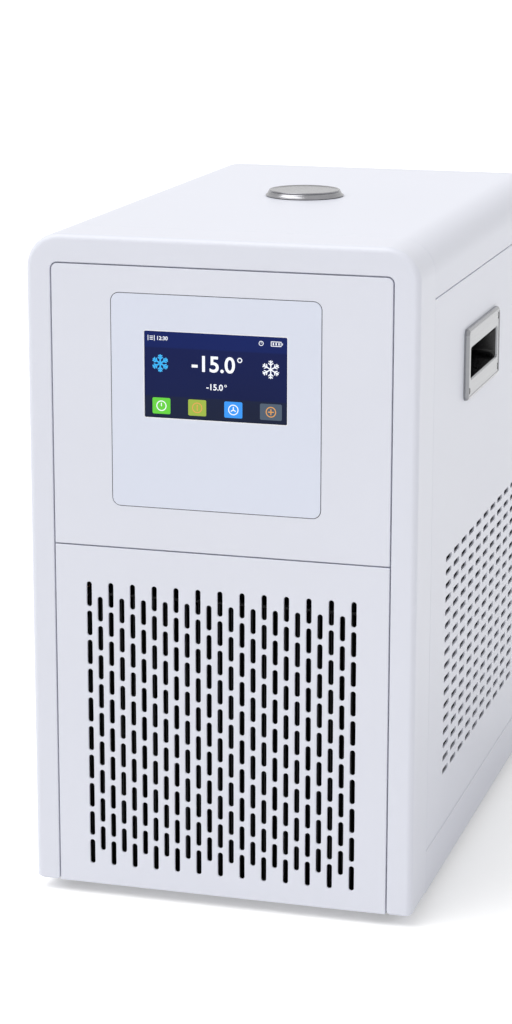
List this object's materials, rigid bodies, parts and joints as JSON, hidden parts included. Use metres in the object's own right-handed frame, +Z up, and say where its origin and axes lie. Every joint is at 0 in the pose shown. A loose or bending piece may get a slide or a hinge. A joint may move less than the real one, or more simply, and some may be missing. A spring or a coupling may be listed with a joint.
{
  "type": "recirculating chiller",
  "caption": "Bench-top recirculating chiller: white casing with rounded shoulders, square display plate, slotted front grille and side, recessed handles and a filler cap.",
  "frame": {"origin": "on the floor under the middle of the box that holds the whole machine, the rear connections included", "axes": "+Z up, the display and the grille face -Y, the slotted side faces +X"},
  "size_m": [0.3, 0.4912, 0.5143],
  "materials": {
    "casing": "satin white powder coat",
    "front": "satin white",
    "front_panels": "satin white powder coat",
    "overlay": "smooth white",
    "screen": "glossy dark blue",
    "board": "green laminate",
    "tray": "white powder coat",
    "foot_rubber": "black",
    "steel": "brushed stainless",
    "foam": "closed-cell foam",
    "fins": "bare fins",
    "galvanised": "galvanised sheet",
    "motor": "black paint",
    "fan": "black",
    "pump": "dark glass-filled plastic",
    "copper": "copper tube",
    "hose": "black hose",
    "fitting": "turned stainless",
    "lever": "red",
    "black_plastic": "black",
    "supply_case": "plain case"
  },
  "bodies": {
    "chassis": {"top_cover": "casing", "side_panel_right": "casing", "side_panel_left": "casing", "rear_panel": "casing", "front_frame": "front", "upper_front_panel": "front_panels", "display_overlay": "overlay", "display_screen": "screen", "controller_board": "board", "relay_board": "board", "base_tray": "tray", "reservoir_shelf": "tray", "rubber_feet": "foot_rubber", "compressor_mounts": "foot_rubber", "handle_right": "steel", "handle_left": "steel", "reservoir_tank": "steel", "tank_lid": "steel", "temperature_probe": "steel", "tank_insulation": "foam", "condenser": "fins", "fan_shroud": "galvanised", "fan_bracket": "galvanised", "electrical_box": "galvanised", "fan_motor": "motor", "pump_motor": "motor", "compressor": "motor", "pump_housing": "pump", "evaporator_coil": "copper", "discharge_line": "copper", "liquid_line": "copper", "filter_drier": "copper", "capillary_tube": "copper", "suction_line": "copper", "feed_hose": "hose", "supply_hose": "hose", "return_hose": "hose", "drain_hose": "hose", "mains_cable": "hose", "outlet_fitting": "fitting", "inlet_fitting": "fitting", "drain_valve": "fitting", "mains_inlet": "black_plastic", "switch_frame": "black_plastic", "power_supply": "supply_case"},
    "cap": {"filler_cap": "steel", "cap_seal": "foot_rubber"},
    "grille": {"front_grille": "front_panels"},
    "fan": {"fan_blades": "fan"},
    "impeller": {"pump_impeller": "pump"},
    "rocker": {"power_rocker": "black_plastic"},
    "lever": {"drain_lever": "lever"}
  },
  "joints": [
    {"name": "cap_lift", "type": "slide", "parent": "chassis", "child": "cap", "axis": [0, 0, 1], "range_m": [0, 0.05]},
    {"name": "grille_pull", "type": "slide", "parent": "chassis", "child": "grille", "axis": [0, -1, 0], "range_m": [0, 0.06]},
    {"name": "fan_spin", "type": "hinge", "parent": "chassis", "child": "fan", "pos_m": [0, -0.1714, 0.124], "axis": [0, 1, 0], "continuous": true},
    {"name": "impeller_spin", "type": "hinge", "parent": "chassis", "child": "impeller", "pos_m": [0.078, 0.0706, 0.059], "axis": [0, 1, 0], "continuous": true},
    {"name": "rocker_tilt", "type": "hinge", "parent": "chassis", "child": "rocker", "pos_m": [-0.095, 0.2216, 0.124], "axis": [-1, 0, 0], "range_deg": [0, 16]},
    {"name": "lever_turn", "type": "hinge", "parent": "chassis", "child": "lever", "pos_m": [0.024, 0.2296, 0.082], "axis": [0, 0, 1], "range_deg": [0, 90]}
  ]
}
